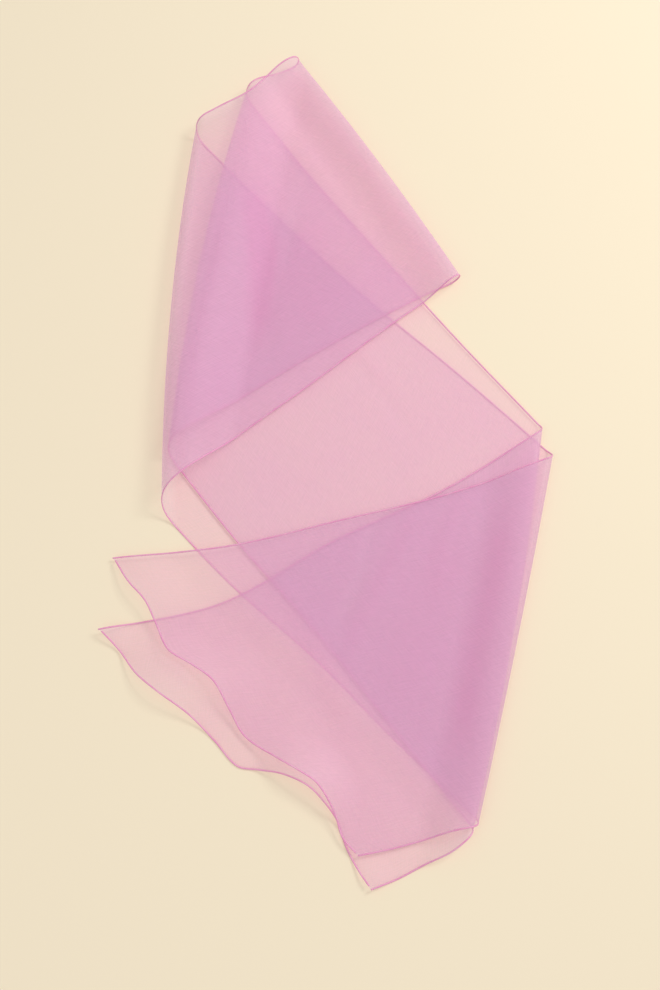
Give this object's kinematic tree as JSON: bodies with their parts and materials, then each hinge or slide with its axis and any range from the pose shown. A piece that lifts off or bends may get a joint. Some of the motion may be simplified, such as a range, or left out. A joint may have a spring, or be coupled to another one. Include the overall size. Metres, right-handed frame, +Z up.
{
  "type": "organza shawl",
  "caption": "Sheer organza shawl, doubled and folded in a zigzag on the surface it lies on, with rolled hems and waving free ends.",
  "frame": {"origin": "bottom centre of the lying shawl's box, on the surface it lies on", "axes": "+Z up, +Y along the zigzag from the free ends towards the middle fold, +X to the right"},
  "size_m": [0.4986, 0.9695, 0.037],
  "materials": {
    "organza": "sheer crisp plain weave with a soft sheen",
    "rolled_hem": "narrow rolled and overcast edge"
  },
  "bodies": {
    "root": {"front_run_top": "organza", "right_fold_outer": "organza", "middle_run_bottom": "organza", "left_fold_outer": "organza", "back_run_top": "organza", "middle_fold": "organza", "back_run_under": "organza", "left_fold_inner": "organza", "middle_run_upper": "organza", "right_fold_inner": "organza", "front_run_under": "organza", "hem_long_side": "rolled_hem", "hem_short_side": "rolled_hem", "hem_top_end": "rolled_hem", "hem_under_end": "rolled_hem"}
  },
  "joints": []
}
